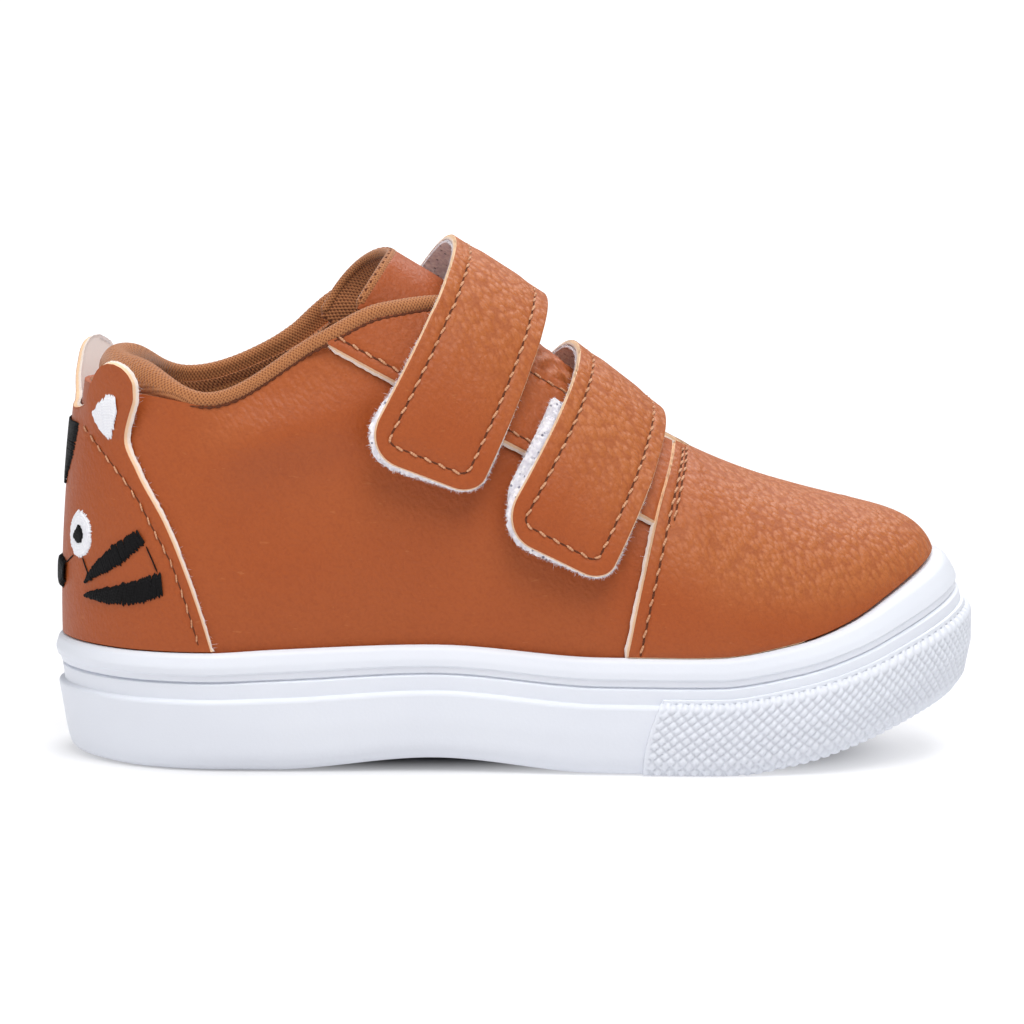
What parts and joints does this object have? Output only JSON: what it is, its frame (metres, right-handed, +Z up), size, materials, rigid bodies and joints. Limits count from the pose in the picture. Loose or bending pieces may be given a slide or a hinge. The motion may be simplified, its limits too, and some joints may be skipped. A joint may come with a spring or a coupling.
{
  "type": "toddler sneaker",
  "caption": "Toddler's right low sneaker in tan leather with a white cup sole, a knurled toe bumper, hook-and-loop straps over the instep and an eared heel panel.",
  "frame": {"origin": "on the floor, under the middle of the sole's bounding box", "axes": "+X to the toe, +Y to the inner (medial) side of the right foot, +Z up"},
  "size_m": [0.1606, 0.0684, 0.0896],
  "materials": {
    "tan_leather": "semi-matt tan synthetic leather, pebbled on the toe, raw cream edges",
    "brown_knit": "orange-brown ribbed knit",
    "white_rubber": "matt white moulded rubber",
    "white_fleece": "white brushed loop cloth"
  },
  "bodies": {
    "root": {"sole": "white_rubber", "insole": "white_fleece", "upper": "tan_leather", "vamp": "tan_leather", "eyestay_lateral": "tan_leather", "eyestay_medial": "tan_leather", "counter": "tan_leather", "collar_binding": "brown_knit", "tongue": "tan_leather", "strap_upper": "tan_leather", "strap_lower": "tan_leather", "pad_upper": "white_fleece", "pad_lower": "white_fleece"}
  },
  "joints": []
}
